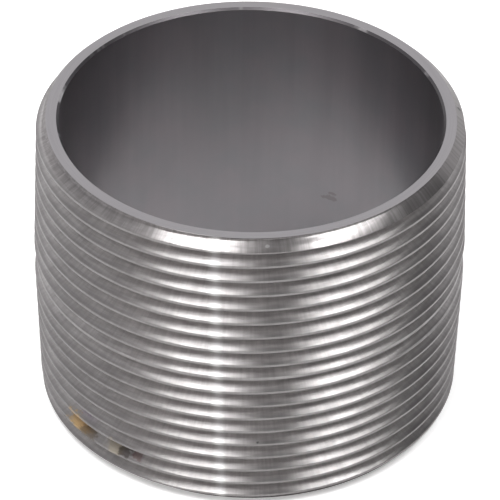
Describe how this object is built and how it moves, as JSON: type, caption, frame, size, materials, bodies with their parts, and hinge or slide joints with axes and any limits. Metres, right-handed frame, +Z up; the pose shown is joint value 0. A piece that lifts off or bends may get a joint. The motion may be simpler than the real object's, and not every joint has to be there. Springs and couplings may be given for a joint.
{
  "type": "pipe nipple",
  "caption": "Short steel tube with a tapered pipe thread cut from both ends to the middle, open bore and chamfered ends, for joining two female pipe fittings.",
  "frame": {"origin": "centre of the lower end face, on the axis of the bore", "axes": "+Z runs up the bore from the lower end to the upper end; the picture looks along +Y and down, with +X to its right"},
  "size_m": [0.06, 0.06, 0.0444],
  "materials": {
    "steel": "turned and threaded stainless steel, satin, with a drawn tube bore"
  },
  "bodies": {
    "root": {"nipple": "steel"}
  },
  "joints": []
}
